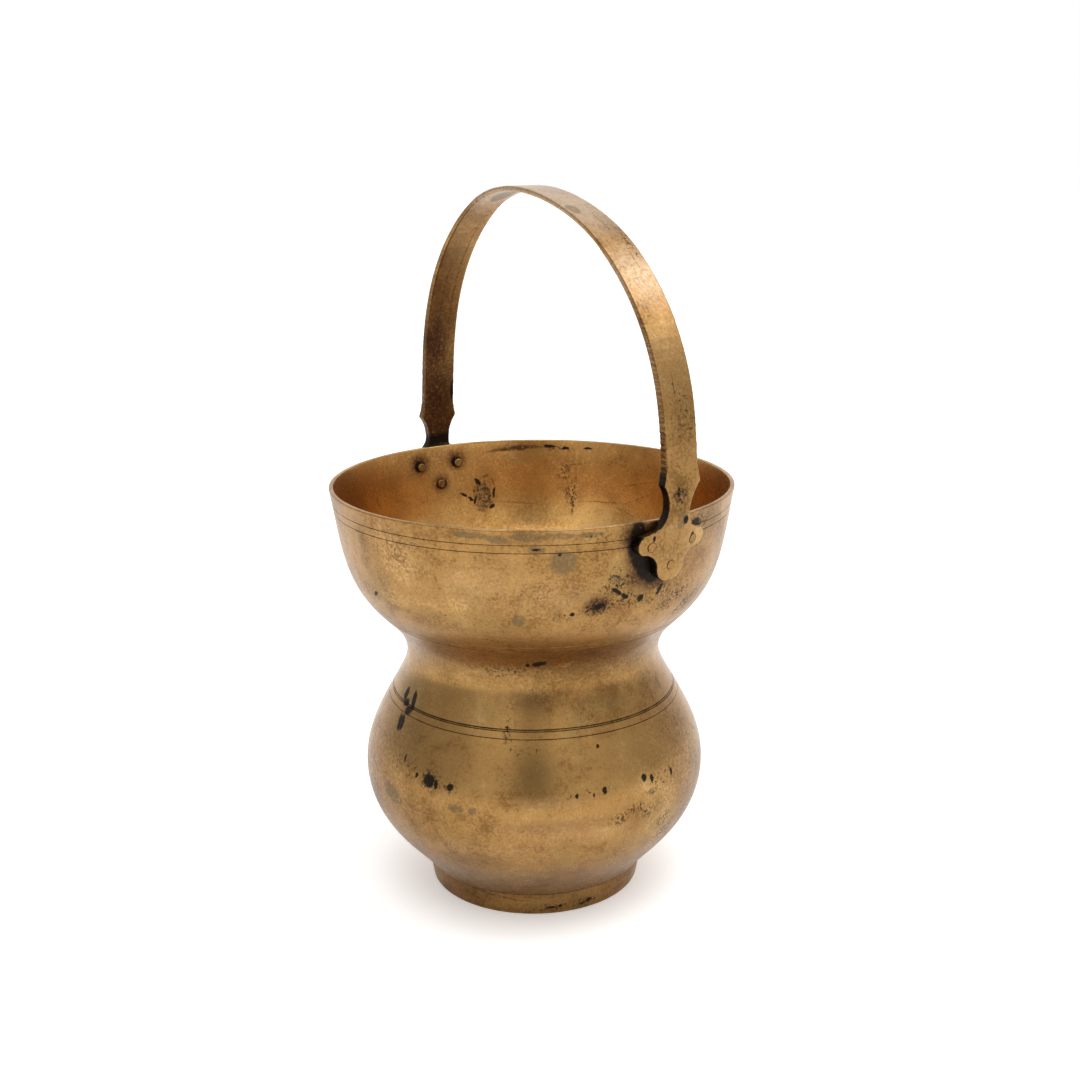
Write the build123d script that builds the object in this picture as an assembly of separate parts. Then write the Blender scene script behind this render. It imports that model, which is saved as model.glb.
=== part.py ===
from build123d import *
import math
import os

# A waisted brass pail: an open bowl joined to a round bulb at a scored line, a foot ring
# under the bulb, and a strap handle whose two lugs are each held to the bowl by three rivets.
# Millimetres. +Z is up, the origin is on the vessel's axis at the underside of the foot, and
# the handle's lugs lie towards +X (front) and -X (back).

# Vessel: outside radius and height of the wall, from the foot ring up to the lip.
FOOT_HEIGHT = 9.5
BASE_RADIUS = 46.3
LIP_HEIGHT = 173.3
OUTSIDE_POINTS = [
    (BASE_RADIUS, FOOT_HEIGHT),
    (55.3, 19.7),
    (63.9, 30.0),
    (70.3, 44.0),
    (71.4, 56.0),
    (67.7, 70.9),
    (56.8, 91.2),
    (52.8, 102.5),
    (55.6, 112.0),
    (64.7, 122.1),
    (72.6, 132.4),
    (79.1, 152.8),
    (82.5, LIP_HEIGHT),
]
SECTION_STEPS = 30
WALL = 1.8
LIP_ROUND = 0.6
BASE_HEIGHT = 4.6
BASE_RISE = FOOT_HEIGHT - BASE_HEIGHT
BASE_CURVE_RADIUS = (BASE_RADIUS**2 + BASE_RISE**2) / (2 * BASE_RISE)

# Scored lines turned into the outside: two below the lip, two round the bowl's underside
# (the lower one is the joint between bowl and bulb) and three on the bulb's shoulder.
SEAM_HEIGHT = 120.4
SCORED_HEIGHTS = [167.3, 164.2, 123.0, SEAM_HEIGHT, 87.3, 86.6, 84.0]
SCORE_WIDTH = 0.36
SCORE_DEPTH = 0.22
SEAM_LAP = 5.0

# Foot ring.
FOOT_TOP_RADIUS = 46.0
FOOT_BOTTOM_RADIUS = 44.2
FOOT_THICKNESS = 3.0

# Handle: one strip bent into an arch, seen from the side as its centre line (across, height).
ARCH_POINTS = [
    (83.9, 168.0),
    (84.8, 175.2),
    (84.6, 189.2),
    (82.1, 214.8),
    (74.1, 238.1),
    (60.0, 257.7),
    (41.6, 273.1),
    (19.4, 283.3),
    (-5.5, 288.6),
    (-32.4, 285.8),
    (-55.3, 271.4),
    (-71.8, 249.8),
    (-80.7, 224.3),
    (-83.8, 197.4),
    (-84.8, 178.0),
    (-84.2, 168.0),
]
ARCH_STEPS = 40
STRAP_TOP_THICKNESS = 2.0
STRAP_LOW_THICKNESS = 4.0
THIN_ABOVE = 280.0
THICK_BELOW = 180.0
LUG_THICKNESS = 4.0
LUG_BAND_BOTTOM = 171.0

# The handle stands a little to one side of the axis, and its strap a little further than its lugs.
# The strap is also turned a little about the axis. The front end leans over later than the back end.
LUG_OFFSET = 4.0
STRAP_OFFSET = 6.7
STRAP_TURN = 0.25
LEAN_BOTTOM = {"front": 168.0, "back": 164.0}
LEAN_TOP = {"front": 190.0, "back": 178.0}

# Half outline of the strap and lug, seen from the end: distance from its middle, and height.
# Each pair of corners is joined by an arc through the point named between them.
LUG_TIP = (0.0, 149.2)
LUG_TIP_ROUND = (4.7, 150.7)
LUG_TIP_SIDE = (6.7, 155.5)
LUG_STEP_ROUND = (8.6, 159.0)
LUG_LOBE_LOW = (12.0, 160.9)
LUG_LOBE_ROUND = (16.2, 165.4)
LUG_LOBE_HIGH = (13.4, 168.4)
LUG_NOTCH_ROUND = (8.0, 170.6)
NECK = (5.2, 175.8)
NECK_ROUND = (5.8, 181.2)
SHOULDER = (8.7, 186.6)
SHOULDER_ROUND = (8.0, 189.4)
STRAP_START = (7.35, 193.0)
STRAP_MIDDLE = (7.7, 250.0)
STRAP_TOP_HALF_WIDTH = 7.5
STRAP_END_HEIGHT = 300.0
HANDLE_REACH = 120.0
OUTLINE_STEPS = 8

# Rivets: a flat-topped round head inside the bowl, and a countersunk tail flush with the lug.
RIVET_RADIUS = 1.4
RIVET_HEAD_RADIUS = 2.0
RIVET_HEAD_HEIGHT = 1.3
RIVET_HEAD_ROUND = 0.55
RIVET_TAIL_RADIUS = 1.9
RIVET_TAIL_DEPTH = 0.8
RIVET_TAIL_PROUD = 0.06
RIVET_HOLE_ROOM = 0.02
RIVET_SEAT = 0.1
RIVET_PLACES = {"left": (-9.75, 164.5), "right": (9.75, 164.5), "low": (0.0, 156.0)}

OUTSIDE = Spline(*OUTSIDE_POINTS)
STATION_TOLERANCE = 1e-9


def station(height):
    """Point on the outside curve at a height, and the direction square to the wall there."""
    low = 0.0
    high = 1.0
    while high - low > STATION_TOLERANCE:
        middle = (low + high) / 2
        if (OUTSIDE @ middle).Y < height:
            low = middle
        else:
            high = middle
    along = OUTSIDE % low
    return OUTSIDE @ low, Vector(along.Y, -along.X)


def inset_region(depth):
    """Half section of everything inside the outside curve moved inwards by a depth."""
    edge = []
    for step in range(SECTION_STEPS + 1):
        share = step / SECTION_STEPS
        along = OUTSIDE % share
        edge.append(OUTSIDE @ share - Vector(along.Y, -along.X) * depth)
    below = edge[0] - (OUTSIDE % 0) * FOOT_HEIGHT
    above = edge[-1] + (OUTSIDE % 1) * FOOT_HEIGHT
    frame = Polyline(edge[-1], above, (0, above.Y), (0, below.Y), below, edge[0])
    bottom = Pos(0, BASE_HEIGHT + BASE_CURVE_RADIUS) * Circle(BASE_CURVE_RADIUS - depth)
    under_lip = Pos(0, LIP_HEIGHT / 2) * Rectangle(2 * LIP_HEIGHT, LIP_HEIGHT)
    return make_face(Spline(*edge) + frame) & bottom & under_lip


def scored_line(height):
    """Section of one V-shaped line cut into the outside."""
    point, outward = station(height)
    along = Vector(-outward.Y, outward.X)
    low = point - along * SCORE_WIDTH / 2
    top = point + along * SCORE_WIDTH / 2
    return make_face(Polyline(low, low + outward, top + outward, top, point - outward * SCORE_DEPTH, close=True))


def above_seam():
    """Section of the space above the stepped joint, whose inner half hangs down as a tongue."""
    top_point, top_outward = station(SEAM_HEIGHT)
    low_point, low_outward = station(SEAM_HEIGHT - SEAM_LAP)
    points = [
        top_point + top_outward * WALL,
        top_point - top_outward * WALL / 2,
        low_point - low_outward * WALL / 2,
        low_point - low_outward * WALL * 2,
        Vector(0, low_point.Y),
        Vector(0, LIP_HEIGHT + WALL),
        Vector(2 * LIP_HEIGHT, LIP_HEIGHT + WALL),
    ]
    return make_face(Polyline(*points, close=True))


def spin(section):
    """A section swept once round the vessel's axis."""
    return revolve(Plane.YZ * section, Axis.Z, 360)


def vessel():
    """The bowl and the bulb, each of one wall thickness with the scored lines cut in."""
    wall = inset_region(0) - inset_region(WALL)
    for height in SCORED_HEIGHTS:
        wall -= scored_line(height)
    bowl = spin(wall & above_seam())
    lip_edges = bowl.edges().group_by(Axis.Z)[-1]
    return fillet(lip_edges, LIP_ROUND), spin(wall - above_seam())


def foot_ring():
    """Tapered ring that fits the underside of the bulb."""
    outline = Polyline(
        (FOOT_BOTTOM_RADIUS - FOOT_THICKNESS, 0),
        (FOOT_BOTTOM_RADIUS, 0),
        (FOOT_TOP_RADIUS, FOOT_HEIGHT),
        (FOOT_TOP_RADIUS - FOOT_THICKNESS, FOOT_HEIGHT),
        close=True,
    )
    return spin(make_face(outline) - inset_region(0))


def strap_thickness(height):
    """The strip is thinnest at the grip and thickest at the lugs."""
    share = (THIN_ABOVE - height) / (THIN_ABOVE - THICK_BELOW)
    share = max(0.0, min(1.0, share))
    return STRAP_TOP_THICKNESS + (STRAP_LOW_THICKNESS - STRAP_TOP_THICKNESS) * share


def arch_band():
    """Side view of the bent strip, thickened either side of its centre line."""
    centre = Spline(*ARCH_POINTS)
    outer = []
    inner = []
    for step in range(ARCH_STEPS + 1):
        point = centre @ (step / ARCH_STEPS)
        along = centre % (step / ARCH_STEPS)
        half = Vector(along.Y, -along.X) * strap_thickness(point.Y) / 2
        outer.append(point + half)
        inner.append(point - half)
    ends = Polyline(outer[0], inner[0]) + Polyline(outer[-1], inner[-1])
    return make_face(Spline(*outer) + Spline(*inner) + ends)


def lean(end, height):
    """How far to one side the middle of the strip lies, from the lug up to the strap."""
    share = (height - LEAN_BOTTOM[end]) / (LEAN_TOP[end] - LEAN_BOTTOM[end])
    share = max(0.0, min(1.0, share))
    turned = LIP_HEIGHT / 2 * math.sin(math.radians(STRAP_TURN))
    start = LUG_OFFSET + (turned if end == "front" else -turned)
    return start + (STRAP_OFFSET - start) * share * share * (3 - 2 * share)


def outline_side(end, side):
    """One edge of the strip, from the lug's tip up past its neck and shoulder to the strap."""
    arcs = [
        (LUG_TIP, LUG_TIP_ROUND, LUG_TIP_SIDE),
        (LUG_TIP_SIDE, LUG_STEP_ROUND, LUG_LOBE_LOW),
        (LUG_LOBE_LOW, LUG_LOBE_ROUND, LUG_LOBE_HIGH),
        (LUG_LOBE_HIGH, LUG_NOTCH_ROUND, NECK),
        (NECK, NECK_ROUND, SHOULDER),
        (SHOULDER, SHOULDER_ROUND, STRAP_START),
    ]
    edges = []
    for start, middle, finish in arcs:
        arc = ThreePointArc(start, middle, finish)
        points = [arc @ (step / OUTLINE_STEPS) for step in range(OUTLINE_STEPS + 1)]
        edges.append(Spline(*[(lean(end, point.Y) + side * point.X, point.Y) for point in points]))
    start = (STRAP_OFFSET + side * STRAP_START[0], STRAP_START[1])
    middle = (STRAP_OFFSET + side * STRAP_MIDDLE[0], STRAP_MIDDLE[1])
    top_edge = STRAP_OFFSET + side * STRAP_TOP_HALF_WIDTH
    edges.append(Polyline(start, middle, (top_edge, THIN_ABOVE), (top_edge, STRAP_END_HEIGHT)))
    return edges


def outline(end):
    """The strap, its shoulder and neck and the lobed lug at one end, seen from that end."""
    top = STRAP_END_HEIGHT
    left = STRAP_OFFSET - STRAP_TOP_HALF_WIDTH
    right = STRAP_OFFSET + STRAP_TOP_HALF_WIDTH
    closing = Polyline((left, top), (right, top))
    return make_face(outline_side(end, -1) + outline_side(end, 1) + [closing])


def handle_strap(holes):
    """The whole handle: the arch, trimmed to the outline, with both lugs curved to the bowl."""
    arch = extrude(Plane.XZ * arch_band(), HANDLE_REACH, both=True)
    above_lugs = Box(2 * HANDLE_REACH, 2 * HANDLE_REACH, 2 * HANDLE_REACH)
    arch &= Pos(0, 0, LUG_BAND_BOTTOM + HANDLE_REACH) * above_lugs
    lug_band = spin(inset_region(-LUG_THICKNESS))
    prism = extrude(Plane.YZ * outline("front"), HANDLE_REACH)
    prism += extrude(Plane.YZ * outline("back"), -HANDLE_REACH)
    prism = Rot(0, 0, -STRAP_TURN) * prism
    return ((arch + lug_band) & prism) - spin(inset_region(0)) - holes


def rivet_plane(end, place):
    """Plane on the bowl's outside under one rivet, facing out of the wall."""
    across, height = RIVET_PLACES[place]
    point, outward = station(height)
    offset = LUG_OFFSET + across * end
    turn = math.asin(offset / point.X)
    if end < 0:
        turn = math.pi - turn
    origin = (point.X * math.cos(turn), point.X * math.sin(turn), height)
    facing = (outward.X * math.cos(turn), outward.X * math.sin(turn), outward.Y)
    return Plane(origin=origin, z_dir=facing)


def rivet_body(plane, room=0.0):
    """Shank with its countersunk tail. With a little room added it is the hole for the rivet."""
    inner_end = -WALL - RIVET_HEAD_HEIGHT / 2
    tail_start = LUG_THICKNESS - RIVET_TAIL_DEPTH
    align = (Align.CENTER, Align.CENTER, Align.MIN)
    shank = Pos(0, 0, inner_end) * Cylinder(RIVET_RADIUS + room, tail_start - inner_end, align=align)
    tail = Cone(RIVET_RADIUS + room, RIVET_TAIL_RADIUS + room, RIVET_TAIL_DEPTH + RIVET_TAIL_PROUD, align=align)
    return plane * (shank + Pos(0, 0, tail_start) * tail)


def rivet_head(plane, wall):
    """Round head that sits on the inside of the bowl's wall."""
    head = Cylinder(RIVET_HEAD_RADIUS, RIVET_HEAD_HEIGHT + RIVET_SEAT)
    head = fillet(head.edges().group_by(Axis.Z)[0], RIVET_HEAD_ROUND)
    depth = WALL + RIVET_HEAD_HEIGHT / 2 - RIVET_SEAT / 2
    return plane * Pos(0, 0, -depth) * head - wall


def build():
    """Every sub-part by its node name."""
    bowl, bulb = vessel()
    planes = {}
    for end, side in ((1, "front"), (-1, "back")):
        for place in RIVET_PLACES:
            planes[f"rivet_{side}_{place}"] = rivet_plane(end, place)
    holes = [rivet_body(plane, RIVET_HOLE_ROOM) for plane in planes.values()]
    parts = {
        "upper_bowl": bowl - holes,
        "lower_bulb": bulb,
        "foot_ring": foot_ring(),
        "handle_strap": handle_strap(holes),
    }
    for name, plane in planes.items():
        parts[name] = rivet_body(plane) + rivet_head(plane, bowl)
    return parts


os.makedirs("parts", exist_ok=True)
for name, shape in build().items():
    shape.label = name
    export_step(shape, f"parts/{name}.step")
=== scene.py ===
import math
from collections import namedtuple

import bmesh
import bpy
from mathutils import Matrix, Vector, noise


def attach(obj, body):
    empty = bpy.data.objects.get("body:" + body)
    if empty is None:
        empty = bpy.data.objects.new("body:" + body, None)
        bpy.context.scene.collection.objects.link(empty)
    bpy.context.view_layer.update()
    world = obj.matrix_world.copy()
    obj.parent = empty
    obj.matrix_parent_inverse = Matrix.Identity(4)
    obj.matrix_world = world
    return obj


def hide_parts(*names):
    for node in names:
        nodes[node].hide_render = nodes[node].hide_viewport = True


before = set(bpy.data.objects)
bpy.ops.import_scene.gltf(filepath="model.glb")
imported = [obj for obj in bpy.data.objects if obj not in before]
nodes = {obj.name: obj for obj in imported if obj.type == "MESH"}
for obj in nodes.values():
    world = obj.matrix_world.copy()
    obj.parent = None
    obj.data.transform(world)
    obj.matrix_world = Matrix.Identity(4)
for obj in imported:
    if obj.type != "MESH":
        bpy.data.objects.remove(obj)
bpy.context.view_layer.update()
MM = 0.001

# ---------------------------------------------------------------- camera
# Heading turns the view from +Y towards -X. Seen from above, the camera stands at azimuth -35 degrees.
HEADING = math.radians(54.7)
PITCH = math.radians(15.24)
ROLL = math.radians(0.454)
EYE = Vector((0.4849, -0.3394, 0.3086))
SENSOR = 36.0
LENS = 49.37
CLIP_START = 0.01
CLIP_END = 100
NEAR_SIDE = -35.0
FAR_SIDE = 145.0


def make_camera():
    data = bpy.data.cameras.new("camera")
    data.sensor_width = SENSOR
    data.lens = LENS
    data.clip_start = CLIP_START
    data.clip_end = CLIP_END
    camera = bpy.data.objects.new("camera", data)
    bpy.context.scene.collection.objects.link(camera)
    level = math.cos(PITCH)
    forward = Vector((-math.sin(HEADING) * level, math.cos(HEADING) * level, -math.sin(PITCH)))
    right = Vector((math.cos(HEADING), math.sin(HEADING), 0))
    up = right.cross(forward)
    tilted_right = right * math.cos(ROLL) - up * math.sin(ROLL)
    tilted_up = up * math.cos(ROLL) + right * math.sin(ROLL)
    rotation = Matrix((tilted_right, tilted_up, -forward)).transposed()
    camera.matrix_world = Matrix.Translation(EYE) @ rotation.to_4x4()
    bpy.context.scene.camera = camera


# ---------------------------------------------------------------- node graphs
class Graph:
    """A material's node tree, with a short call for each kind of node used here."""

    def __init__(self, tree):
        self.tree = tree

    def add(self, kind, inputs=(), **settings):
        made = self.tree.nodes.new(kind)
        for name, value in settings.items():
            setattr(made, name, value)
        for name, value in dict(inputs).items():
            self.put(made.inputs[name], value)
        return made

    def put(self, socket, value):
        if isinstance(value, bpy.types.NodeSocket):
            self.tree.links.new(value, socket)
        elif value is not None:
            socket.default_value = value

    def math(self, operation, *values):
        made = self.add("ShaderNodeMath", operation=operation)
        for number, value in enumerate(values):
            self.put(made.inputs[number], value)
        return made.outputs[0]

    def vector(self, operation, *values):
        made = self.add("ShaderNodeVectorMath", operation=operation)
        for number, value in enumerate(values):
            self.put(made.inputs[number], value)
        return made

    def noise(self, vector, scale, detail=3.0, roughness=0.55, distortion=0.0):
        return self.add("ShaderNodeTexNoise", {"Vector": vector, "Scale": scale, "Detail": detail,
                                               "Roughness": roughness, "Distortion": distortion})

    def step(self, value, low, high, start=0.0, end=1.0):
        """A smooth change from start to end while value goes from low to high."""
        made = self.add("ShaderNodeMapRange", interpolation_type="SMOOTHSTEP")
        for number, item in enumerate((value, low, high, start, end)):
            self.put(made.inputs[number], item)
        return made.outputs[0]

    def mix(self, share, a, b, blend="MIX"):
        made = self.add("ShaderNodeMix", data_type="RGBA", blend_type=blend)
        self.put(made.inputs[0], share)
        self.put(made.inputs[6], a)
        self.put(made.inputs[7], b)
        return made.outputs[2]

    def blend(self, share, a, b):
        made = self.add("ShaderNodeMix", data_type="FLOAT")
        self.put(made.inputs[0], share)
        self.put(made.inputs[2], a)
        self.put(made.inputs[3], b)
        return made.outputs[0]

    def combine(self, x, y, z):
        return self.add("ShaderNodeCombineXYZ", {"X": x, "Y": y, "Z": z}).outputs[0]

    def separate(self, vector):
        return self.add("ShaderNodeSeparateXYZ", {"Vector": vector}).outputs


def rgb(red, green, blue):
    return (red, green, blue, 1.0)


# ---------------------------------------------------------------- brass
LIGHT_BRASS = rgb(0.55, 0.335, 0.128)
MID_BRASS = rgb(0.40, 0.222, 0.072)
DARK_BRASS = rgb(0.215, 0.105, 0.029)
RED_BRASS = rgb(0.36, 0.165, 0.052)
OLIVE_BRASS = rgb(0.25, 0.175, 0.062)
BROWN = rgb(0.075, 0.034, 0.012)
BLACK = rgb(0.014, 0.010, 0.007)
GREY_FILM = rgb(0.155, 0.108, 0.055)
# clean bright brass; inside the bowl it is also a painted highlight
CLEAN_GOLD_AND_HIGHLIGHT = rgb(0.66, 0.42, 0.16)
# pink scrapes; on the handle it is also a painted highlight
PINK_SCRAPE_AND_HIGHLIGHT = rgb(0.68, 0.43, 0.25)
# painted sheen: the pale grazing reflection on the top of the handle
PAINTED_SHEEN_SILVER = rgb(0.60, 0.49, 0.37)
RED_BROWN = rgb(0.055, 0.02, 0.01)
WORN_EDGE = rgb(0.70, 0.48, 0.24)
# lifts the brass inside the bowl, making it brighter than the rest
INSIDE_TINT = rgb(1.34, 1.26, 1.12)

# How each kind of mark looks (stains, and in places painted shade, painted highlight and painted sheen): its
# colour, how much it covers, how soft its edge is, how far noise moves its edge (mm), the noise levels
# between which it goes from bare to whole, and how rough it leaves the metal.
MarkLook = namedtuple("MarkLook", "colour cover softness shift bare whole roughness")
MARK_LOOKS = {
    # halo: brown grime round the lugs and in patches, and painted shade in bands at the waist and on the
    # bulb's sides
    "halo_and_painted_shade": MarkLook(BROWN, 0.5, 0.8, 7.0, 0.3, 0.66, 0.48),
    # painted sheen on the top of the handle, standing in for a grazing reflection of the white surroundings
    "painted_sheen": MarkLook(PAINTED_SHEEN_SILVER, 0.6, 0.8, 6.0, 0.3, 0.6, 0.33),
    # gold: clean scraped brass, and inside the bowl a painted highlight
    "gold_and_painted_highlight": MarkLook(CLEAN_GOLD_AND_HIGHLIGHT, 0.55, 0.5, 9.0, 0.42, 0.62, 0.3),
    # pink: scrapes on the bowl and bulb, and a painted highlight on the handle's front leg
    "pink_scrape_and_highlight": MarkLook(PINK_SCRAPE_AND_HIGHLIGHT, 0.34, 0.8, 9.0, 0.44, 0.66, 0.38),
    "grey": MarkLook(GREY_FILM, 0.72, 0.22, 3.0, 0.28, 0.54, 0.5),
    "rust": MarkLook(RED_BROWN, 0.85, 0.6, 3.0, 0.28, 0.5, 0.5),
    "line": MarkLook(BROWN, 0.7, 0.5, 1.6, 0.4, 0.56, 0.5),
    "dusty": MarkLook(BLACK, 0.75, 0.5, 5.0, 0.48, 0.58, 0.6),
    "pits": MarkLook(BLACK, 0.85, 0.6, 6.0, 0.56, 0.62, 0.6),
    "black": MarkLook(BLACK, 0.96, 0.22, 2.2, 0.24, 0.4, 0.6),
}

# Scales of the noise (per metre), from the broadest to the finest.
CLOUD_SCALE = 22
HUE_SCALE = 36
PATCH_SCALE = 115
WOBBLE_SCALE = 300
HOLE_SCALE = 800
GRAIN_SCALE = 900
SPECK_SCALE = 1700

# Tool marks: noise drawn out along the turning direction or along the strap, and file marks on it.
ACROSS_LINES = 1500
PER_RADIAN = 2.6
ALONG_STRAP = 90
FILE_MARKS = 900

# How much each layer of noise counts, and the levels that the three brass colours belong to.
CLOUD_WEIGHT = 0.55
PATCH_WEIGHT = 0.36
LINE_WEIGHT = 0.08
DARK_LEVEL = 0.33
MID_LEVEL = 0.5
LIGHT_LEVEL = 0.67

HUE_STARTS = 0.48
HUE_FULL = 0.7
HUE_SHARE = 0.36
SPECK_SHARE = 0.7

# Pointiness from which an edge starts to look worn, and at which it is bright.
EDGE_STARTS = 0.545
EDGE_FULL = 0.64
LIP_EDGE = 0.1728

BUMP_STRENGTH = 0.4
BUMP_DEPTH = 0.00012
COAT_WEIGHT = 0.08
COAT_ROUGHNESS = 0.25
COAT_IOR = 1.45


def turned_coordinates(g, place, facing):
    """Azimuth from the facing direction (radians), distance from the axis and height (metres)."""
    turned = g.add("ShaderNodeVectorRotate", {"Vector": place, "Angle": -math.radians(facing)},
                   rotation_type="Z_AXIS").outputs[0]
    x, y, z = g.separate(turned)
    azimuth = g.math("ARCTAN2", y, x)
    radius = g.math("SQRT", g.math("ADD", g.math("MULTIPLY", x, x), g.math("MULTIPLY", y, y)))
    return azimuth, radius, z


def flat_spot(facing, radius):
    """Places a spot given as azimuth, height, half width, half height and tilt on an unrolled surface."""
    def settings(azimuth, height, wide, tall, tilt):
        across = math.radians((azimuth - facing + 180) % 360 - 180) * radius
        turn = math.radians(tilt)
        return {"Location": (across, height, 0), "Rotation": (0, 0, turn), "Scale": (wide, tall, 1)}
    return settings


def solid_spot(x, y, z, half_x, half_y, half_z):
    """Places a spot given as its middle and half sizes in space."""
    return {"Location": (x, y, z), "Scale": (half_x, half_y, half_z)}


def mark_mask(g, sheet, wobble, holes, look, spots, settings):
    """Where the spots of one kind of mark (stains, painted shade, painted highlights and painted sheen) lie,
    from 0 to 1.
    """
    shift = (look.shift, look.shift, look.shift)
    moved = g.vector("MULTIPLY_ADD", wobble, shift, sheet).outputs[0]
    nearest = None
    for spot in spots:
        local = g.add("ShaderNodeMapping", {"Vector": moved, **settings(*spot)}, vector_type="TEXTURE")
        distance = g.vector("LENGTH", local.outputs[0]).outputs[1]
        nearest = distance if nearest is None else g.math("MINIMUM", nearest, distance)
    inside = g.step(nearest, 1 + look.softness, 1 - look.softness, 0.0, look.cover)
    return g.math("MULTIPLY", inside, g.step(holes, look.bare, look.whole))


def layered(g, layers):
    """Noise layers added up around 0.5, each (noise, weight)."""
    total = 0.5
    for value, weight in layers:
        centred = g.math("SUBTRACT", value, 0.5)
        total = g.math("MULTIPLY_ADD", centred, weight, total)
    return total


def tool_lines(g, place, azimuth, distance, height, turned):
    """Fine lines round a turned piece, or along the strap."""
    if turned:
        across = g.math("MULTIPLY", distance, ACROSS_LINES)
        upwards = g.math("MULTIPLY", height, ACROSS_LINES)
        drawn = g.combine(across, upwards, g.math("MULTIPLY", azimuth, PER_RADIAN))
    else:
        drawn = g.vector("MULTIPLY", place, (ALONG_STRAP, ACROSS_LINES, ALONG_STRAP)).outputs[0]
    return g.noise(drawn, 1.0, 3, 0.65).outputs[0]


def mottled(g, shifted, level):
    """Dark, middle and light brass by level, turned red in some places and olive in others."""
    colour = g.mix(g.step(level, DARK_LEVEL, MID_LEVEL), DARK_BRASS, MID_BRASS)
    colour = g.mix(g.step(level, MID_LEVEL, LIGHT_LEVEL), colour, LIGHT_BRASS)
    hue = g.separate(g.noise(shifted, HUE_SCALE, 6, 0.7, 0.7).outputs[1])
    colour = g.mix(g.step(hue[1], HUE_STARTS, HUE_FULL, 0.0, HUE_SHARE), colour, RED_BRASS)
    return g.mix(g.step(hue[2], HUE_STARTS, HUE_FULL, 0.0, HUE_SHARE), colour, OLIVE_BRASS)


def dark_specks(g, specks, patches):
    """Small dark specks all over, thicker in some places."""
    where = g.step(patches, 0.45, 0.7)
    return g.step(specks, g.blend(where, 0.72, 0.62), g.blend(where, 0.78, 0.69))


def with_marks(g, place, shifted, azimuth, height, colour, rough, surface, facing, marks_by_kind):
    """Colour and roughness with the listed stains, painted shade and painted highlights laid over them, one
    kind after another.
    """
    raw = g.noise(shifted, WOBBLE_SCALE, 6, 0.75).outputs[1]
    wobble = g.vector("SUBTRACT", raw, (0.5, 0.5, 0.5)).outputs[0]
    holes = g.noise(shifted, HOLE_SCALE, 5, 0.75).outputs[0]
    if surface:
        sheet = g.combine(g.math("MULTIPLY", azimuth, surface), g.math("MULTIPLY", height, 1 / MM), 0.0)
        wobble = g.vector("MULTIPLY", wobble, (1, 1, 0)).outputs[0]
        settings = flat_spot(facing, surface)
    else:
        scaled = g.vector("SCALE", place)
        scaled.inputs["Scale"].default_value = 1 / MM
        sheet = scaled.outputs[0]
        settings = solid_spot
    for kind, spots in marks_by_kind.items():
        look = MARK_LOOKS[kind]
        mask = mark_mask(g, sheet, wobble, holes, look, spots, settings)
        colour = g.mix(mask, colour, look.colour)
        rough = g.blend(mask, rough, look.roughness)
    return colour, rough


def worn_edges(g, colour, patches, height, turned):
    """Bright metal along edges, on a turned piece only at its lip."""
    bend = g.add("ShaderNodeNewGeometry").outputs["Pointiness"]
    worn = g.math("MULTIPLY", g.step(bend, EDGE_STARTS, EDGE_FULL), g.step(patches, 0.35, 0.6, 0.15, 0.75))
    if turned:
        worn = g.math("MULTIPLY", worn, g.step(height, LIP_EDGE - MM, LIP_EDGE))
    return g.mix(worn, colour, WORN_EDGE)


def scored_grime(g, colour, patches):
    """Black grime in the scored lines, thinner in places."""
    score = g.add("ShaderNodeAttribute", attribute_name="score").outputs["Fac"]
    grime = g.math("MULTIPLY", score, g.step(patches, 0.36, 0.66, 1.0, 0.45))
    return g.mix(grime, colour, BLACK)


def edge_grime(g, colour, place, specks):
    """Grime on the left side face of the strap's front end, cut across by file marks."""
    x, _, z = g.separate(place)
    # the face that looks towards -Y, on the half of the arch over the front lug
    facing = g.separate(g.add("ShaderNodeNewGeometry").outputs["Normal"])[1]
    side = g.math("MULTIPLY", g.step(facing, -0.3, -0.62), g.step(x, 0.0, 0.03))
    # bare file marks in the grime, which fades out towards the top of the arch
    ticks = g.noise(g.combine(0.0, 0.0, g.math("MULTIPLY", z, FILE_MARKS)), 1.0, 2, 0.6).outputs[0]
    marks = g.step(ticks, 0.42, 0.54, 0.35, 0.85)
    share = g.math("MULTIPLY", g.step(z, 0.272, 0.235), marks)
    share = g.math("MULTIPLY", share, g.step(specks, 0.3, 0.66, 1.0, 0.6))
    colour = g.mix(g.math("MULTIPLY", side, share), colour, RED_BROWN)
    # black below the shoulder, at the neck
    neck = g.math("MULTIPLY", side, g.step(z, 0.195, 0.189))
    return g.mix(g.math("MULTIPLY", neck, g.step(specks, 0.3, 0.7, 1.0, 0.9)), colour, BLACK)


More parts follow.
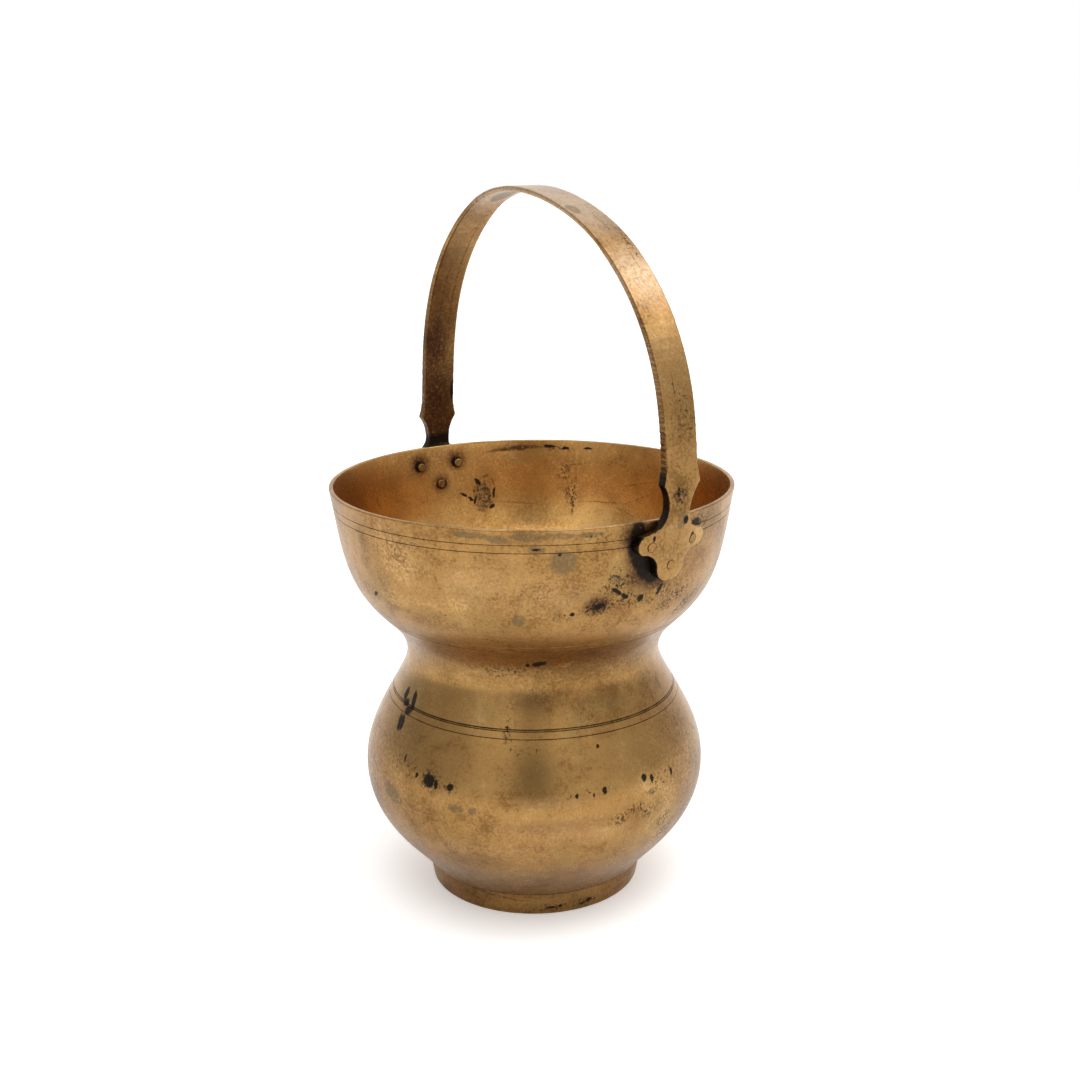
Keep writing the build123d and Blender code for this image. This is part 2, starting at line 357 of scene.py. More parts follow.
def brass(name, surface, marks_by_kind, facing=NEAR_SIDE, turned=True, tone=0.0, seed=0.0, brown=0.0,
          roughness=0.33, mottle=0.62, tint=None):
    """Aged satin brass: mottled patina, turning or drawing lines, specks, and this surface's stains together
    with any painted shade and painted highlights in its table.

    surface is the radius (mm) that a turned surface is unrolled at, or None where spots lie in space.
    facing is the azimuth that the unrolled surface is centred on, so that its cut lies opposite.
    tone lightens or darkens the patina, brown is a share of brown over it, mottle is the grain's
    weight and seed moves the noise, so that no two surfaces are alike."""
    material = bpy.data.materials.new(name)
    material.use_nodes = True
    tree = material.node_tree
    shader = tree.nodes["Principled BSDF"]
    g = Graph(tree)
    place = g.add("ShaderNodeTexCoord").outputs["Object"]
    shifted = g.vector("ADD", place, (seed, seed * 0.7, seed * 0.3)).outputs[0]
    azimuth, distance, height = turned_coordinates(g, place, facing)

    clouds = g.noise(shifted, CLOUD_SCALE, 4, 0.6, 0.5).outputs[0]
    patches = g.noise(shifted, PATCH_SCALE, 5, 0.66, 0.6).outputs[0]
    grain = g.noise(shifted, GRAIN_SCALE, 5, 0.8).outputs[0]
    specks = g.noise(shifted, SPECK_SCALE, 2, 0.6).outputs[0]
    lines = tool_lines(g, place, azimuth, distance, height, turned)
    layers = [(clouds, CLOUD_WEIGHT), (patches, PATCH_WEIGHT), (grain, mottle), (lines, LINE_WEIGHT)]
    level = g.math("ADD", layered(g, layers), tone)
    colour = mottled(g, shifted, level)
    if brown:
        colour = g.mix(g.step(clouds, 0.3, 0.65, brown, brown * 0.45), colour, BROWN)
    dots = dark_specks(g, specks, patches)
    colour = g.mix(g.math("MULTIPLY", dots, SPECK_SHARE), colour, BROWN)

    rough = g.step(level, 0.3, 0.7, roughness + 0.06, roughness - 0.05)
    colour, rough = with_marks(g, place, shifted, azimuth, height, colour, rough, surface, facing, marks_by_kind)
    colour = worn_edges(g, colour, patches, height, turned)
    if turned:
        colour = scored_grime(g, colour, patches)
    else:
        colour = edge_grime(g, colour, place, specks)
    if tint:
        colour = g.mix(1.0, colour, tint, "MULTIPLY")

    relief = g.math("MULTIPLY_ADD", lines, 0.25, g.math("MULTIPLY", grain, 0.4))
    relief = g.math("MULTIPLY_ADD", dots, -0.8, relief)
    bump = g.add("ShaderNodeBump", {"Height": relief, "Strength": BUMP_STRENGTH, "Distance": BUMP_DEPTH})
    g.put(shader.inputs["Base Color"], colour)
    g.put(shader.inputs["Roughness"], rough)
    g.put(shader.inputs["Normal"], bump.outputs[0])
    shader.inputs["Metallic"].default_value = 1.0
    shader.inputs["Coat Weight"].default_value = COAT_WEIGHT
    shader.inputs["Coat Roughness"].default_value = COAT_ROUGHNESS
    shader.inputs["Coat IOR"].default_value = COAT_IOR
    return material


# ---------------------------------------------------------------- mesh work
# Steps round a turned piece, the space between its rings, and the turns that stay sharp.
SEGMENTS = 288
RING_GAP = 1.1 * MM
CORNER = math.radians(28)
SHARP = math.radians(40)

# How far hand work leaves the shape from true, broadly round the piece and in small dents.
SWELL = 0.22 * MM
SWELLS_ROUND = 1.3
SWELL_HEIGHT = 45 * MM
DENT = 0.07 * MM
DENT_SIZE = 17 * MM
DENT_PLACE = Vector((7.3, 1.9, 4.4))

# Scored lines: their depth, how short one is across, the heights that they lie between, the bend
# that shows one, how grimy its two edges are, and how far that reaches. The bowl meets the bulb at SEAM.
SCORE_DEPTH = 0.217 * MM
SCORE_LIMIT = 0.8 * MM
SCORED_BETWEEN = (0.080, 0.1695)
SCORE_TURN = math.radians(60)
SCORE_EDGE_GRIME = 0.15
SCORE_GRIME = 0.05 * MM
SEAM = 0.1204
SEAM_GRIME = 0.35 * MM
SEAM_TURN = math.radians(20)

# Wear that eats into the handle and the rivets, fine and broad.
NICK_SIZE = 4.5 * MM
WEAR_SIZE = 12 * MM
WEAR_PLACE = Vector((3.1, 5.2, 8.8))

# File marks on the left side of the handle, above the front lug: their depth and pitch, the heights
# between which they lie, and the x that the front end is past.
FILED = 0.35 * MM
FILE_PITCH = 1.1 * MM
FILED_FROM = 0.186
FILED_TO = 0.206
FILED_PAST = 0.08


def warp(point):
    """Slight unevenness of hand work, the same for every piece so that they still meet."""
    angle = math.atan2(point.y, point.x)
    outward = Vector((math.cos(angle), math.sin(angle), 0))
    swell = noise.noise(Vector((outward.x * SWELLS_ROUND, outward.y * SWELLS_ROUND, point.z / SWELL_HEIGHT)))
    dents = noise.noise(point / DENT_SIZE + DENT_PLACE)
    return point + outward * (swell * SWELL + dents * DENT)


def seam_section(name):
    """A turned CAD node's section as ordered (radius, height) points, read along its seam at +Y.

    Also says whether the section is closed: one that starts and ends on the axis isn't."""
    mesh = nodes[name].data
    keys = {}
    for v in mesh.vertices:
        if abs(v.co.x) < 1e-6 and v.co.y > -1e-6:
            keys[v.index] = (round(v.co.y, 7), round(v.co.z, 7))
    near = {}
    for e in mesh.edges:
        a, b = e.vertices
        if a in keys and b in keys and keys[a] != keys[b]:
            near.setdefault(keys[a], set()).add(keys[b])
            near.setdefault(keys[b], set()).add(keys[a])
    ends = sorted(p for p in near if len(near[p]) == 1)
    start = ends[0] if ends else min(near, key=lambda p: (p[1], p[0]))
    chain = [start]
    while True:
        onward = [p for p in near[chain[-1]] if p not in chain[-2:] and p != chain[0]]
        if len(chain) == 1:
            onward = sorted(onward)[-1:]
        if not onward:
            break
        chain.append(onward[0])
    closed = not ends
    if ends and chain[0][0] > MM:
        # the seam runs past the floor of one scored line, so that floor is put back
        first, last = chain[0], chain[-1]
        chain.append(((first[0] + last[0]) / 2 - SCORE_DEPTH, (first[1] + last[1]) / 2))
        closed = True
    return [Vector(p) for p in chain], closed


def turn_at(a, b, c):
    return (b - a).angle(c - b, 0.0)


def smooth_section(points, closed):
    """More points along the section: curved stretches follow a spline, corners stay corners."""
    count = len(points)
    corner = [False] * count
    for i in range(count):
        if closed or 0 < i < count - 1:
            corner[i] = turn_at(points[i - 1], points[i], points[(i + 1) % count]) > CORNER
        else:
            corner[i] = True
    result = []
    for i in range(count if closed else count - 1):
        a, b = points[i], points[(i + 1) % count]
        before = a * 2 - b if corner[i] else points[i - 1]
        after = b * 2 - a if corner[(i + 1) % count] else points[(i + 2) % count]
        pieces = max(1, round((b - a).length / RING_GAP))
        knots = [0.0]
        for p, q in ((before, a), (a, b), (b, after)):
            knots.append(knots[-1] + max((q - p).length, 1e-9) ** 0.5)
        for step in range(pieces):
            result.append(between(before, a, b, after, knots, step / pieces))
    if not closed:
        result.append(points[-1])
    return result


def between(p0, p1, p2, p3, knots, share):
    """Centripetal Catmull-Rom point between p1 and p2."""
    t0, t1, t2, t3 = knots
    t = t1 + (t2 - t1) * share
    a = p0.lerp(p1, (t - t0) / (t1 - t0))
    b = p1.lerp(p2, (t - t1) / (t2 - t1))
    c = p2.lerp(p3, (t - t2) / (t3 - t2))
    d = a.lerp(b, (t - t0) / (t2 - t0))
    e = b.lerp(c, (t - t1) / (t3 - t1))
    return d.lerp(e, (t - t1) / (t2 - t1))


def link(name, mesh, materials):
    piece = bpy.data.objects.new(name, mesh)
    bpy.context.scene.collection.objects.link(piece)
    for material in materials:
        mesh.materials.append(material)
    return piece


def turned_rings(section):
    """The section's points turned round the axis: all the vertices, and each point's ring of them."""
    verts = []
    rings = []
    for point in section:
        if point.x < 1e-6:
            rings.append([len(verts)])
            verts.append(Vector((0, 0, point.y)))
            continue
        ring = []
        for step in range(SEGMENTS):
            angle = 2 * math.pi * step / SEGMENTS
            ring.append(len(verts))
            verts.append(warp(Vector((point.x * math.cos(angle), point.x * math.sin(angle), point.y))))
        rings.append(ring)
    return verts, rings


def faces_between(rings, section, closed, is_inside):
    """The faces between neighbouring rings, and each face's material: 0 outside, 1 inside."""
    faces = []
    slots = []
    pairs = list(zip(rings, rings[1:]))
    places = list(zip(section, section[1:]))
    if closed:
        pairs.append((rings[-1], rings[0]))
        places.append((section[-1], section[0]))
    for (low, high), (a, b) in zip(pairs, places):
        inner = 1 if is_inside and is_inside((a + b) / 2) else 0
        for step in range(SEGMENTS):
            following = (step + 1) % SEGMENTS
            if len(low) == 1:
                face = (low[0], high[step], high[following])
            elif len(high) == 1:
                face = (low[step], high[0], low[following])
            else:
                face = (low[step], high[step], high[following], low[following])
            faces.append(face)
            slots.append(inner)
    return faces, slots


def turned_piece(name, node, materials, is_inside):
    """A turned piece made again from its CAD section, finely divided, with its outer and inner materials."""
    section, closed = seam_section(node)
    section, grime = with_scored_lines(smooth_section(section, closed), closed)
    verts, rings = turned_rings(section)
    faces, slots = faces_between(rings, section, closed, is_inside)
    mesh = bpy.data.meshes.new(name)
    mesh.from_pydata(verts, [], faces)
    mesh.polygons.foreach_set("material_index", slots)
    score = mesh.attributes.new("score", "FLOAT", "POINT")
    for ring, value in zip(rings, grime):
        for index in ring:
            score.data[index].value = value
    shape = bmesh.new()
    shape.from_mesh(mesh)
    bmesh.ops.recalc_face_normals(shape, faces=shape.faces)
    shape.to_mesh(mesh)
    shape.free()
    mesh.shade_smooth()
    mesh.set_sharp_from_angle(angle=SHARP)
    piece = link(name, mesh, materials)
    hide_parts(node)
    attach(piece, "root")
    return piece


def with_scored_lines(section, closed):
    """The section with a point beside each scored line, and how grimy each point is, from 0 to 1.

    A scored line is a narrow inward corner. The joint between bowl and bulb is grimy too."""
    count = len(section)
    grime = [0.0] * count
    for i in range(count):
        a, b, c = section[i - 1], section[i], section[(i + 1) % count]
        turn = turn_at(a, b, c)
        narrow = (c - a).length < SCORE_LIMIT and b.x < (a.x + c.x) / 2
        if narrow and turn > SCORE_TURN and SCORED_BETWEEN[0] < b.y < SCORED_BETWEEN[1]:
            grime[i - 1] = SCORE_EDGE_GRIME
            grime[i] = 1.0
            grime[(i + 1) % count] = SCORE_EDGE_GRIME
        if turn > SEAM_TURN and abs(b.y - SEAM) < SEAM_GRIME:
            grime[i] = 1.0
    points = []
    values = []
    for i in range(count if closed else count - 1):
        j = (i + 1) % count
        points.append(section[i])
        values.append(grime[i])
        if (grime[i] > 0) != (grime[j] > 0) and (section[j] - section[i]).length > 2 * SCORE_GRIME:
            dirty, clean = (section[i], section[j]) if grime[i] else (section[j], section[i])
            points.append(dirty + (clean - dirty).normalized() * SCORE_GRIME)
            values.append(0.0)
    if not closed:
        points.append(section[-1])
        values.append(0.0)
    return points, values


def worn_copy(name, node, materials, cell, smoothing, nick):
    """A CAD node's shape with its edges rounded by wear and its faces slightly uneven.

    cell is the size of the remeshing grid, and nick is how deep the wear bites."""
    mesh = nodes[node].data.copy()
    mesh.materials.clear()
    shape = bmesh.new()
    shape.from_mesh(mesh)
    bmesh.ops.remove_doubles(shape, verts=shape.verts, dist=1e-6)
    shape.to_mesh(mesh)
    shape.free()
    rough = bpy.data.objects.new(name + "_rough", mesh)
    bpy.context.scene.collection.objects.link(rough)
    remesh = rough.modifiers.new("remesh", "REMESH")
    remesh.mode = "VOXEL"
    remesh.voxel_size = cell
    soften = rough.modifiers.new("soften", "SMOOTH")
    soften.factor = 0.5
    soften.iterations = smoothing
    ready = rough.evaluated_get(bpy.context.evaluated_depsgraph_get())
    final = bpy.data.meshes.new_from_object(ready)
    final.name = name
    bpy.data.objects.remove(rough)
    normals = [v.normal.copy() for v in final.vertices]
    for v, outward in zip(final.vertices, normals):
        place = warp(v.co)
        bite = noise.noise(place / NICK_SIZE) * 0.5 + noise.noise(place / WEAR_SIZE + WEAR_PLACE)
        in_filed_part = place.x > FILED_PAST and place.y < 0 and FILED_FROM < place.z < FILED_TO
        filed = FILED if in_filed_part else 0.0
        teeth = noise.noise(Vector((0, 0, place.z / FILE_PITCH))) * filed
        v.co = place - outward * (bite * nick) + Vector((0, teeth, 0))
    final.shade_smooth()
    piece = link(name, final, materials)
    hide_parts(node)
    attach(piece, "root")
    return piece


# ---------------------------------------------------------------- stains, painted shade and painted highlights, by surface
# Each spot on a turned surface is azimuth (degrees), height, half width, half height (mm) and tilt.
BOWL_STAINS_AND_SHADE = {
    # the first halo spot, a band right round the bottom of the bowl, is painted shade at the waist where the
    # bowl meets the bulb; the other halo spots are grime
    "halo_and_painted_shade": [(-35, 121, 260, 5, 0), (2.5, 161, 25, 12, 0), (-2, 153, 16, 11, 0), (-14, 144, 9, 5, 0),
             (14, 166, 6, 4, 0), (-64, 133, 12, 2.5, -5), (-88, 160, 3, 9, 0), (8, 141, 7, 4, 20),
             (-66, 136, 9, 2.5, 0), (22, 133, 10, 4, 30)],
    "gold_and_painted_highlight": [(-78, 163, 6, 6, 0), (-74, 155, 8, 8, 30), (-66, 139, 13, 3.6, -4), (-57, 141.4, 6, 3.5, 0),
             (-77, 140, 9, 3, 0), (-12, 154, 4, 8, -15), (-9, 146, 8, 3, 0)],
    "pink_scrape_and_highlight": [(-72, 158, 9, 9, 20), (-50, 150, 14, 8, 0), (-78, 166, 5, 5, 0), (-30, 146, 14, 8, 0)],
    "grey": [(-27, 160.7, 4.9, 4.7, 0), (-50.5, 170.9, 6.5, 1.3, 0), (-44, 169.6, 4.5, 1.6, -8),
             (-36, 170.6, 7, 1.4, 0), (-28, 170.8, 6, 1.2, 0), (-34, 165.7, 3.0, 1.2, 0),
             (-20, 170.6, 5, 1.0, 0), (-39, 137, 2.6, 2.6, 0), (-12, 152, 3, 2, 0)],
    "rust": [(-7.6, 168, 5.6, 6.2, 0), (-5.6, 160, 6.2, 5.6, 0), (-3.8, 155, 6.4, 7.4, 0),
             (0, 149.6, 7.4, 4.4, 0), (-17, 141.8, 4.6, 3.4, 0)],
    "dusty": [(-12, 150, 5, 7, 0), (-9, 144.6, 6, 4, 0), (-16, 141, 7, 3.0, 10), (-4, 141.5, 5, 3, 0),
              (3, 143, 5, 4, 30), (10, 138, 8, 3.6, 30), (18, 134, 8, 2.6, 35), (16, 168.4, 7, 2.6, 0),
              (-27, 137.6, 4, 1.8, 0)],
    "pits": [(-12, 147, 9, 9, 0), (-15, 169.5, 9, 2.5, 0), (-62, 137, 13, 2.6, 0), (8, 140, 12, 4, 20),
             (-20, 140, 10, 2.5, 0)],
    "black": [(-6.8, 169, 3.2, 5.0, 0), (-6.6, 163.6, 4.0, 4.6, 0), (-4.8, 158.6, 4.6, 4.4, 0),
              (-3.0, 155, 4.4, 5.2, 0), (-0.6, 151, 4.2, 2.8, 0), (2.9, 158, 9.5, 9.5, 0),
              (2.9, 166, 15.6, 5.4, 0), (-16.5, 141.4, 2.4, 1.3, 15), (-11.6, 147, 2.6, 0.9, -35),
              (-9, 144.4, 1.8, 0.9, -30), (-3.6, 142.6, 1.5, 1.5, 0), (3, 144.6, 0.9, 2.6, -25),
              (-24, 139, 1.2, 0.7, 0), (13.5, 168, 3.2, 2.2, 0), (-34, 165.8, 1.4, 0.5, 0),
              (-28, 163.6, 0.8, 0.5, 0), (-88, 139, 2, 0.8, 30)],
}
BOWL_INSIDE_STAINS_AND_HIGHLIGHT = {
    "halo_and_painted_shade": [(133, 163, 8, 5, 0), (145, 170.5, 18, 1.6, 0), (178, 168, 16, 4, 0), (132, 152, 5, 9, 0),
             (182, 163, 12, 6, 0)],
    # both gold spots inside the bowl are a painted highlight, low on the far wall where the inside looks
    # brightest
    "gold_and_painted_highlight": [(145, 139, 38, 9, 0), (168, 144, 12, 5, 0)],
    "grey": [(162, 149, 4.2, 6.0, 0)],
    "rust": [(184.5, 166.4, 4.4, 4.2, 0), (170.8, 165.9, 4.0, 4.0, 0), (176.8, 156.4, 4.0, 3.8, 0),
             (150, 169.8, 10, 1.0, -4)],
    "dusty": [(131.5, 149, 2.4, 4.6, -8), (134, 159, 3.0, 3.0, 0), (136, 169.6, 6, 1.4, 0),
              (161.5, 149.4, 4.6, 6.4, 0)],
    "pits": [(131, 149, 4, 8, -8), (163, 148, 6, 6, 0)],
    "line": [(150, 169.6, 13, 0.6, -4), (130.6, 143, 0.8, 3.0, 0), (120, 146.4, 12, 0.25, -2),
             (106, 150, 9, 0.25, -24), (110, 143, 6, 0.25, 15), (128, 163, 6, 0.25, -8),
             (150, 145, 9, 0.3, 4), (205, 154, 0.8, 3.0, -20), (108, 156, 8, 0.25, -12),
             (163, 144.5, 3.4, 0.5, 8), (165.0, 150.6, 0.8, 2.6, -6), (163.0, 142.4, 2.0, 0.7, 20),
             (158.4, 154.8, 0.6, 2.2, -16), (160.6, 157.8, 1.8, 0.6, -18), (161.6, 150.4, 1.4, 0.9, 40),
             (160.6, 147, 0.6, 1.6, 20)],
    "black": [(163.6, 155.4, 2.0, 1.0, 50), (165.2, 146.8, 0.6, 1.8, 16), (159.2, 143.8, 1.3, 0.9, -30),
              (158.2, 150, 0.5, 2.6, 10), (169, 150, 1.8, 0.6, 30), (166.6, 148, 1.6, 0.7, 36),
              (139, 170.6, 2.6, 0.8, 0), (133.6, 169.8, 1.6, 0.7, 0), (126, 170.0, 2.0, 0.5, 0),
              (184.5, 165.6, 2.6, 2.5, 0), (170.8, 165.4, 2.5, 2.5, 0), (176.8, 156.2, 2.4, 2.4, 0)],
}
BULB_STAINS_AND_SHADE = {
    # two kinds of halo spot are painted shade: the band right round the top of the bulb at the waist, under
    # the bowl, and the two tall spots on both sides of the front, on the bulb's sides; the other halo spots
    # are grime
    "halo_and_painted_shade": [(-86, 50, 12, 8, 0), (-72, 53, 9, 5, 0), (-22, 52, 20, 2.5, 0), (8, 52, 14, 5, 20),
             (-58, 33, 14, 3, 0), (-35, 114.5, 230, 12, 0), (-50, 110, 14, 3.5, 0), (-33, 99, 16, 5, 0),
             (-97, 62, 24, 40, 0), (27, 62, 24, 40, 0)],
    "gold_and_painted_highlight": [(-52, 108.6, 15, 1.2, 4), (-22, 112.4, 6, 0.9, 14), (10, 44, 9, 5, 0)],
    "pink_scrape_and_highlight": [(-45, 40, 20, 5, 0), (-18, 47, 16, 4, 0), (-62, 38, 9, 5, 0), (-30, 62, 10, 2, 0),
             (-30, 50, 22, 4, 0)],
    "grey": [(-60.5, 57, 2.9, 1.6, 0), (-55, 57.2, 1.5, 1.5, 0), (6, 59, 2.6, 1.3, 0),
             (-88, 54, 6, 3.4, -20)],
    "dusty": [(-7, 51.6, 4.4, 2.8, 20), (-1, 54, 3.4, 2.2, 0), (3, 51.4, 3.6, 2.4, 0),
              (12, 44, 5, 3.4, 30), (15, 38, 6, 2.2, 35), (-71, 65, 5.2, 4.6, 0),
              (-63, 64.6, 3.4, 2.8, 0), (-52, 109, 4.4, 1.4, 0), (-42, 109.6, 5, 1.6, 0),
              (-51, 108, 4, 1.8, 0), (-45, 86, 1.4, 4, 0)],
    "pits": [(-50, 110, 11, 2.4, 0), (-36, 112.6, 6, 2, 0), (-82, 67, 8, 3, 0), (-18, 64, 10, 2, 0),
             (10, 62, 10, 4, 0), (-38, 80, 8, 2, 0), (-14, 90, 6, 5, 0), (-44, 90, 3, 6, 0)],
    "black": [(-91.5, 89, 1.6, 4.0, 24), (-92.6, 85.2, 2.4, 1.6, 0), (-94.5, 80.4, 1.3, 3.2, 22),
              (-71.4, 65.3, 2.6, 2.6, 0), (-68.4, 64.6, 0.7, 2.0, 0), (-63, 64.8, 1.5, 1.4, 0),
              (-77, 65.8, 0.8, 1.1, 0), (-84, 70, 0.6, 1.4, 0), (-12.2, 64.2, 0.9, 1.4, 0),
              (-16, 63, 0.5, 0.5, 0), (-21.6, 63.6, 0.7, 0.8, 0), (3.2, 65.0, 1.1, 1.6, 0),
              (6.4, 63.8, 0.7, 2.0, 0), (16, 63, 0.8, 1.4, 0), (-32.8, 113.4, 3.6, 1.3, 10),
              (-37.4, 112.8, 1.0, 0.9, 0), (-12, 80, 0.7, 0.7, 0), (-96, 87.4, 2.4, 1.5, 0),
              (-99, 90, 1.8, 2.6, 20), (-93, 80.6, 1.5, 3.0, 20)],
}
FOOT_STAINS = {
    "halo_and_painted_shade": [(-66, 7.5, 12, 3, 0), (-35, 8.4, 22, 1.0, 0), (-8, 3.4, 8, 3, 0), (-30, 1.0, 30, 1.2, 0)],
    "dusty": [(-25, 2.8, 5, 1.4, 0), (-7, 3, 4, 1.6, 0)],
    "pits": [(-22, 3, 8, 2, 0), (-40, 3, 14, 1.6, 0)],
    "line": [(-60, 8.2, 12, 0.4, -6), (-50, 7.2, 9, 0.5, -6), (-70, 5, 6, 0.3, -10)],
    "black": [(-27, 2.8, 1.8, 0.6, 0), (-22, 3.2, 1.0, 0.7, 0), (-5.5, 3.6, 1.4, 1.0, 0),
              (-9, 2.6, 1.6, 0.6, 20)],
}
# Each spot on the handle is its middle and its half sizes (mm) in space.
HANDLE_STAINS_AND_HIGHLIGHTS = {
    "halo_and_painted_shade": [(-78, 7, 222, 20, 16, 40), (-84, 7, 186, 20, 16, 22), (-66, 5, 256, 12, 5, 14),
             (86, 6, 181, 6, 5, 6), (86, 10, 207, 6, 6, 12), (85, 4, 160, 5, 10, 6),
             (40, 11, 275, 14, 3, 8)],
    # the silver spots are painted sheen over the top of the arch and the upper front leg
    "painted_sheen": [(20, 6, 284, 34, 14, 10), (-20, 6, 289, 30, 14, 8), (60, 8, 260, 14, 10, 10)],
    # the pink spots are a painted highlight, where the right softbox's reflection falls on the front leg
    "pink_scrape_and_highlight": [(66, 7, 252, 18, 10, 20), (76, 7, 232, 10, 9, 16)],
    "grey": [(25.6, 2.3, 282, 4.2, 2.6, 3), (86.8, 6.6, 172.6, 3, 2.6, 3.6), (86, -6, 163.5, 3, 2.4, 2),
             (-30, 8, 286, 12, 4, 4)],
    "rust": [(-84.5, 7, 178, 8, 16, 12), (-84, 5, 196, 6, 9, 20), (-81, 4, 222, 6, 6, 16)],
    "dusty": [(86.4, 5, 181, 3, 3.6, 4.4), (47, 11.6, 270, 14, 1.4, 6)],
    "pits": [(45, 10, 273, 20, 4, 10), (-78, 4, 200, 10, 5, 16), (84, 8, 215, 6, 7, 16)],
    "line": [(-66, 10.6, 246, 24, 0.4, 36), (-72, 5.4, 238, 14, 0.3, 20), (-80, 9, 212, 10, 0.4, 16),
             (84, 9.6, 206, 3, 2.8, 0.4), (82, 5, 222, 3, 0.3, 5), (36, 8, 278, 9, 0.3, 5),
             (54, 9, 265, 9, 0.3, 5)],
    "black": [(-84.5, 7, 172.5, 6, 16, 6.5), (-82, 14.2, 198, 3, 1.6, 5.0),
              (86.8, 8.2, 172.6, 2.6, 1.2, 1.6), (85.2, -5.7, 167.2, 2.5, 0.7, 1.2),
              (84, 13.5, 165.6, 2.5, 0.9, 1.2), (86.8, 4.4, 183.4, 2, 0.6, 1.8)],
}
PLAIN = {}

# ---------------------------------------------------------------- the pieces
# Above this height the lip is all outside.
INNER_LIP = 0.1725


def inside_of(node):
    """A test for whether a point on a node's section lies on its inner surface: the wall is outside it."""
    section, closed = seam_section(node)
    following = section[1:] + (section[:1] if closed else [])

    def test(point):
        for a, b in zip(section, following):
            if (a.y > point.y) != (b.y > point.y):
                radius = a.x + (b.x - a.x) * (point.y - a.y) / (b.y - a.y)
                if radius - point.x > MM and point.y < INNER_LIP:
                    return True
        return False
    return test


def build_pieces():
    bowl_out = brass("bowl_outside", 78, BOWL_STAINS_AND_SHADE, tone=-0.01)
    bowl_in = brass("bowl_inside", 77, BOWL_INSIDE_STAINS_AND_HIGHLIGHT, FAR_SIDE, seed=0.31, tone=0.06, roughness=0.3,
                    tint=INSIDE_TINT)
    bulb_out = brass("bulb_outside", 65, BULB_STAINS_AND_SHADE, seed=0.83, roughness=0.27, mottle=0.45)
    bulb_in = brass("bulb_inside", 65, PLAIN, FAR_SIDE, seed=0.57, tone=-0.04)
    foot = brass("foot_brass", 45, FOOT_STAINS, seed=0.19, tone=-0.05)
    strap = brass("handle_brass", None, HANDLE_STAINS_AND_HIGHLIGHTS, turned=False, seed=0.71, tone=-0.04)
    rivet = brass("rivet_brass", None, PLAIN, turned=False, seed=0.44, tone=-0.06, brown=0.2)

    bowl = turned_piece("bowl", "upper_bowl", [bowl_out, bowl_in], inside_of("upper_bowl"))
    bulb = turned_piece("bulb", "lower_bulb", [bulb_out, bulb_in], inside_of("lower_bulb"))
    ring = turned_piece("foot", "foot_ring", [foot], None)
    handle = worn_copy("handle", "handle_strap", [strap], cell=0.36 * MM, smoothing=5, nick=0.05 * MM)
    for side in ("front", "back"):
        for place in ("left", "right", "low"):
            node = "rivet_%s_%s" % (side, place)
            piece = worn_copy(node + "_worn", node, [rivet], cell=0.16 * MM, smoothing=3, nick=0.02 * MM)


# ---------------------------------------------------------------- studio
FLOOR_SIZE = 12.0
FLOOR_DROP = 0.0002
# The floor's own light, as it falls on the object and as the camera sees it.
FLOOR_GLOW = 0.05
FLOOR_LIFT = 0.26


def make_floor():
    """A wide pale floor, seen a little brighter than it lights the object."""
    mesh = bpy.data.meshes.new("floor")
    half = FLOOR_SIZE / 2
    corners = [(-half, -half), (half, -half), (half, half), (-half, half)]
    mesh.from_pydata([(x, y, -FLOOR_DROP) for x, y in corners], [], [(0, 1, 2, 3)])
    material = bpy.data.materials.new("pale_floor")
    material.use_nodes = True
    shader = material.node_tree.nodes["Principled BSDF"]
    shader.inputs["Base Color"].default_value = rgb(0.97, 0.97, 0.97)
    shader.inputs["Roughness"].default_value = 0.9
    shader.inputs["Specular IOR Level"].default_value = 0.0
    shader.inputs["Emission Color"].default_value = rgb(1, 1, 1)
    g = Graph(material.node_tree)
    seen = g.add("ShaderNodeLightPath").outputs["Is Camera Ray"]
    g.put(shader.inputs["Emission Strength"], g.blend(seen, FLOOR_GLOW, FLOOR_LIFT))
    floor = link("floor", mesh, [material])


# How bright the surroundings are: a dark strip in front, where the photographer stands, light to
# both sides of it, dimmer further round, more so on the left, and white behind and overhead.
FRONT_LEVEL = 0.24
FLANK_LEVEL = 0.92
LEFT_LEVEL = 0.5
RIGHT_LEVEL = 0.68
BACK_LEVEL = 1.1
TOP_LEVEL = 1.25

SOFTBOX_DISTANCE = 1.3
SOFTBOX_SIZE = 0.9
SOFTBOX_AIM = Vector((0, 0, 0.14))


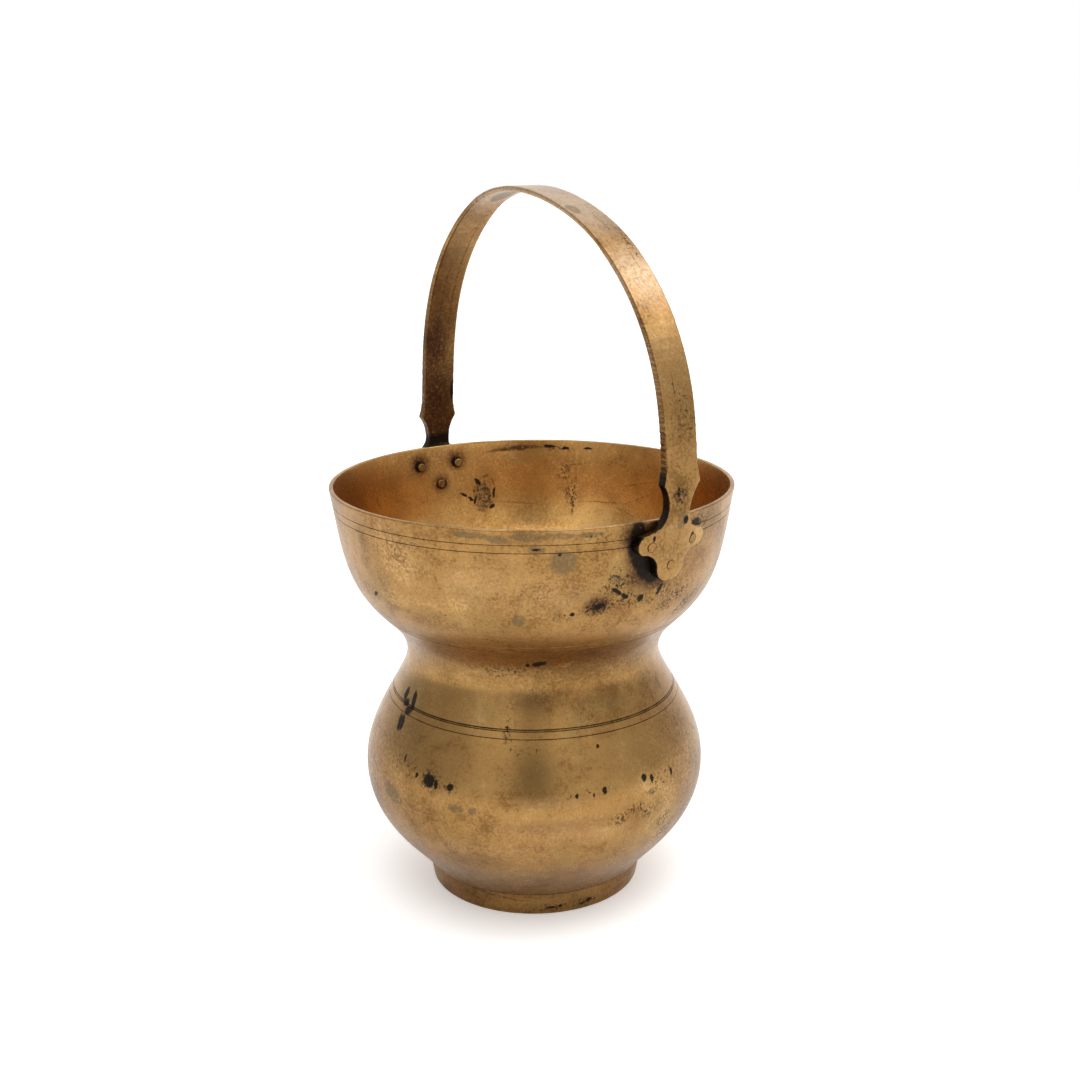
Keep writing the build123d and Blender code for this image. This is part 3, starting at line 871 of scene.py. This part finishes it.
def degrees_step(g, angle, low, high):
    """A smooth change from 0 to 1 while an angle in radians goes between two limits in degrees."""
    return g.step(angle, math.radians(low), math.radians(high))


def make_world():
    """White surroundings, darker towards the side that the photographer stands on."""
    world = bpy.data.worlds.new("studio")
    bpy.context.scene.world = world
    world.use_nodes = True
    g = Graph(world.node_tree)
    background = world.node_tree.nodes["Background"]
    direction = g.add("ShaderNodeTexCoord").outputs["Generated"]
    azimuth, flat, height = turned_coordinates(g, direction, NEAR_SIDE)
    elevation = g.math("ARCTAN2", height, flat)
    away = g.math("ABSOLUTE", azimuth)
    level = g.step(azimuth, -0.6, 0.6, LEFT_LEVEL, RIGHT_LEVEL)
    level = g.blend(degrees_step(g, away, 105, 150), level, BACK_LEVEL)
    level = g.blend(degrees_step(g, away, 30, 64), FLANK_LEVEL, level)
    level = g.blend(degrees_step(g, away, 9, 16), FRONT_LEVEL, level)
    level = g.blend(degrees_step(g, elevation, 34, 52), level, TOP_LEVEL)
    seen = g.add("ShaderNodeLightPath").outputs["Is Camera Ray"]
    g.put(background.inputs["Strength"], g.blend(seen, level, 1.0))
    background.inputs["Color"].default_value = rgb(1, 1, 1)


def softbox(name, azimuth, elevation, radiance):
    data = bpy.data.lights.new(name, "AREA")
    data.shape = "SQUARE"
    data.size = SOFTBOX_SIZE
    data.energy = radiance * math.pi * SOFTBOX_SIZE * SOFTBOX_SIZE
    lamp = bpy.data.objects.new(name, data)
    bpy.context.scene.collection.objects.link(lamp)
    a = math.radians(azimuth)
    e = math.radians(elevation)
    towards = Vector((math.cos(a) * math.cos(e), math.sin(a) * math.cos(e), math.sin(e)))
    lamp.rotation_mode = "QUATERNION"
    lamp.rotation_quaternion = towards.to_track_quat("Z", "Y")
    lamp.location = SOFTBOX_AIM + towards * SOFTBOX_DISTANCE
    lamp.visible_camera = False


make_camera()
build_pieces()
make_floor()
make_world()
softbox("right_softbox", NEAR_SIDE + 92, 56, 1.2)
softbox("overhead_softbox", NEAR_SIDE, 68, 1.4)
bpy.context.scene.view_settings.view_transform = "Standard"
